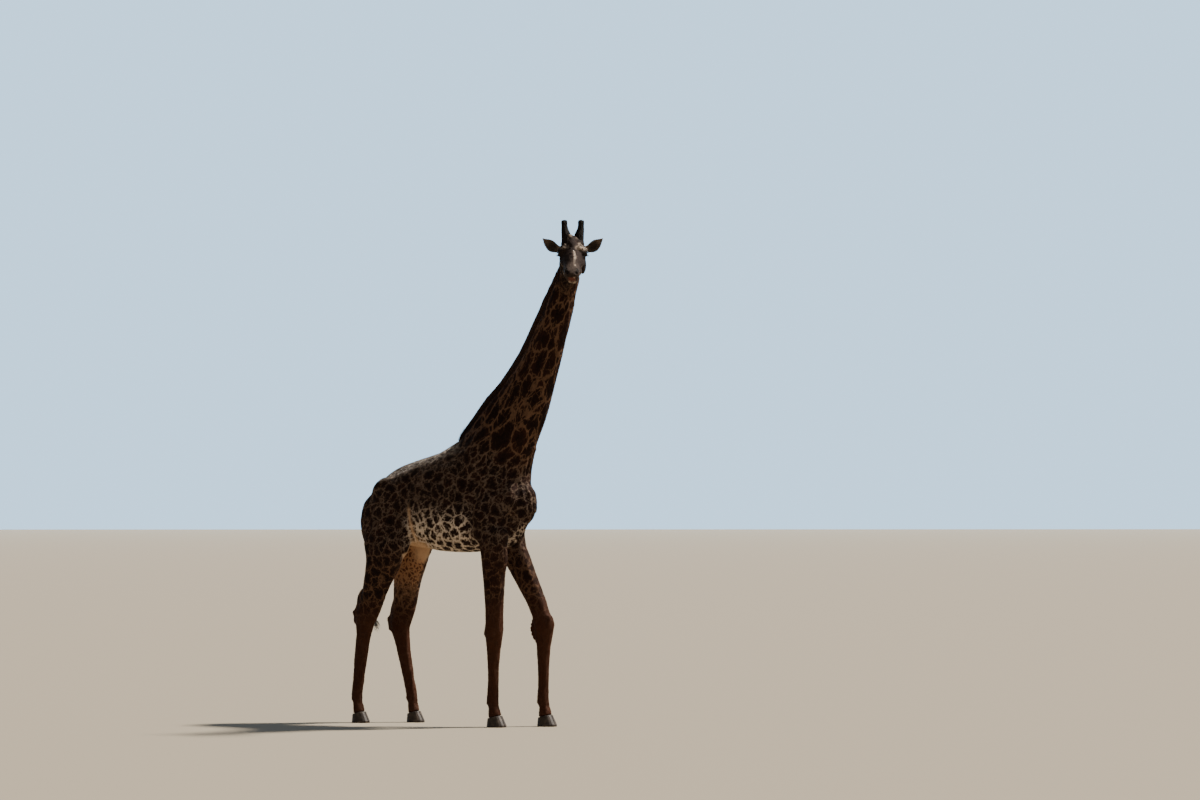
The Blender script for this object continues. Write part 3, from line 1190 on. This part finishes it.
for number in range(int(1200 * max(fewer, 0.4))):
    top = tassel_high.z - draws.random() ** 1.6 * 0.22 * (tassel_high.z - tassel_low.z)
    foot = tassel_low.z + draws.random() ** 2.2 * 0.55 * (tassel_high.z - tassel_low.z)
    heights = np.linspace(top + 0.01, foot, 8)
    core = np.column_stack([np.interp(-heights, -levels, cores[:, k]) for k in (0, 1)])
    breadth = np.interp(-heights, -levels, breadths)
    angle, out = draws.uniform(0, 2 * math.pi), draws.random() ** 0.5
    sway = angle + draws.normal(0, 0.5) * np.linspace(0, 1, 8)
    spread = out * breadth * np.linspace(0.45, 1.0, 8)
    paths.append(np.column_stack([core[:, 0] + spread * np.cos(sway),
                                  core[:, 1] + spread * np.sin(sway), heights]))
    tones.append(draws.random())
# a wisp blown forward, between the hind legs
start = np.array((cores[2][0], cores[2][1], levels[2]))
for number in range(90):
    top = start + draws.normal(0, 0.012, 3)
    tip = start + (0.170, 0.012, -0.185) + draws.normal(0, 0.014, 3) * (1.3, 1, 1.8)
    bow = (top + tip) / 2 + (0.045, 0.0, 0.010)
    steps = np.linspace(0, 1, 8)[:, None]
    paths.append((1 - steps) ** 2 * top + 2 * steps * (1 - steps) * bow + steps ** 2 * tip)
    tones.append(draws.random())
spots = np.column_stack([np.linspace(0.05, 0.95, len(paths)), np.full(len(paths), 0.5)])
tassel = strands_mesh("tassel_hair", np.array(paths), 0.004, np.array(tones), spots)
add_piece("tassel_hair", tassel, "tassel_hair", TASSEL_HAIR, "tail_tassel")


# ---------------------------------------------------------------- the hooves
# Two toes to a foot. Each is a horn wall with fine growth rings, grown from the coronet and
# worn flat underneath.
RING_APART = 0.011
hoof_finish, tree, shader = new_finish("hoof_horn", 0.55, 0.25)
where = tree.nodes.new("ShaderNodeTexCoord").outputs["Object"]
squash = tree.nodes.new("ShaderNodeMapping")
squash.inputs["Scale"].default_value = (1, 1, 9)
tree.links.new(where, squash.inputs["Vector"])
rings = grain(tree, squash.outputs[0], 14.0, 3.0)
stain = grain(tree, where, 22.0, 4.0)
horn_colour = blend(tree, rings["Fac"], (0.014, 0.010, 0.008, 1), (0.045, 0.032, 0.022, 1))
horn_colour = blend(tree, between(tree, stain["Fac"], 0.45, 0.75), horn_colour,
                    (0.070, 0.050, 0.035, 1))
tree.links.new(horn_colour, shader.inputs["Base Color"])
roughen(tree, shader, rings["Fac"], 0.7, 0.0016)
for foot_name in ("fore_left", "fore_right", "hind_left", "hind_right"):
    for toe in ("left", "right"):
        node = f"hoof_{foot_name}_{toe}_toe"
        wall = soft_cast([node], -0.0006, 0.0034, 4)
        spots, normals = places_of(wall), normals_of(wall)
        ridge = 0.0007 * np.sin(spots[:, 2] * 2 * math.pi / RING_APART)
        spots = spots + normals * (ridge * ramp(spots[:, 2], 0.012, 0.03))[:, None]
        spots[:, 2] = np.where(spots[:, 2] < 0.0035, 0.0, spots[:, 2])
        put_places(wall, spots)
        add_piece(f"horn_wall_{foot_name}_{toe}_toe", wall, "hoof_horn", hoof_finish, node)


# ---------------------------------------------------------------- camera, floor and light
# A plain floor before a bright, even backdrop. The sun stands high behind the animal's left,
# so that its near side lies in the shade, with a weak fill from before the animal's breast.
view_turn = math.radians(35)
camera_data = bpy.data.cameras.new("camera")
camera_data.lens = 144.75
camera_data.sensor_width = 36
camera_data.clip_end = 1000
camera = bpy.data.objects.new("camera", camera_data)
camera.location = (STAND.x + 50 * math.sin(view_turn), STAND.y - 50 * math.cos(view_turn), 2.475)
camera.rotation_euler = (math.radians(91.01), 0, math.radians(33.16))
bpy.context.scene.collection.objects.link(camera)
bpy.context.scene.camera = camera

bpy.ops.mesh.primitive_plane_add(size=600)
floor = bpy.context.object
floor.name = "floor"
floor_paint, _, shader = new_finish("floor_paint", 0.9)
shader.inputs["Base Color"].default_value = (0.260, 0.215, 0.150, 1)
floor.data.materials.append(floor_paint)

bpy.ops.mesh.primitive_plane_add(size=1)
backdrop = bpy.context.object
backdrop.name = "backdrop"
backdrop.scale = (700, 60, 1)
backdrop.rotation_euler = (math.radians(90), 0, view_turn)
backdrop.location = (-220 * math.sin(view_turn), 220 * math.cos(view_turn), 30)
backdrop.visible_shadow = False
lit_cloth, _, shader = new_finish("lit_cloth", specular=0)
shader.inputs["Base Color"].default_value = (0, 0, 0, 1)
shader.inputs["Emission Color"].default_value = (0.50, 0.75, 1.0, 1)
shader.inputs["Emission Strength"].default_value = 1.75
backdrop.data.materials.append(lit_cloth)

sky = bpy.data.worlds.new("soft_sky")
sky.use_nodes = True
sky.node_tree.nodes["Background"].inputs["Color"].default_value = (0.78, 0.86, 0.96, 1)
sky.node_tree.nodes["Background"].inputs["Strength"].default_value = 0.235
bpy.context.scene.world = sky


def soft_sun(name, toward, strength, spread, colour):
    """A large soft light, far off in the given direction."""
    lamp = bpy.data.lights.new(name, "SUN")
    lamp.energy = strength
    lamp.angle = math.radians(spread)
    lamp.color = colour
    thing = bpy.data.objects.new(name, lamp)
    thing.rotation_euler = Vector(toward).to_track_quat("Z", "Y").to_euler()
    bpy.context.scene.collection.objects.link(thing)


soft_sun("key", (0.55, 0.66, 1.10), 10.5, 6, (1.0, 0.94, 0.86))
soft_sun("fill", (1.0, -0.60, 0.55), 0.30, 60, (0.95, 0.97, 1.0))
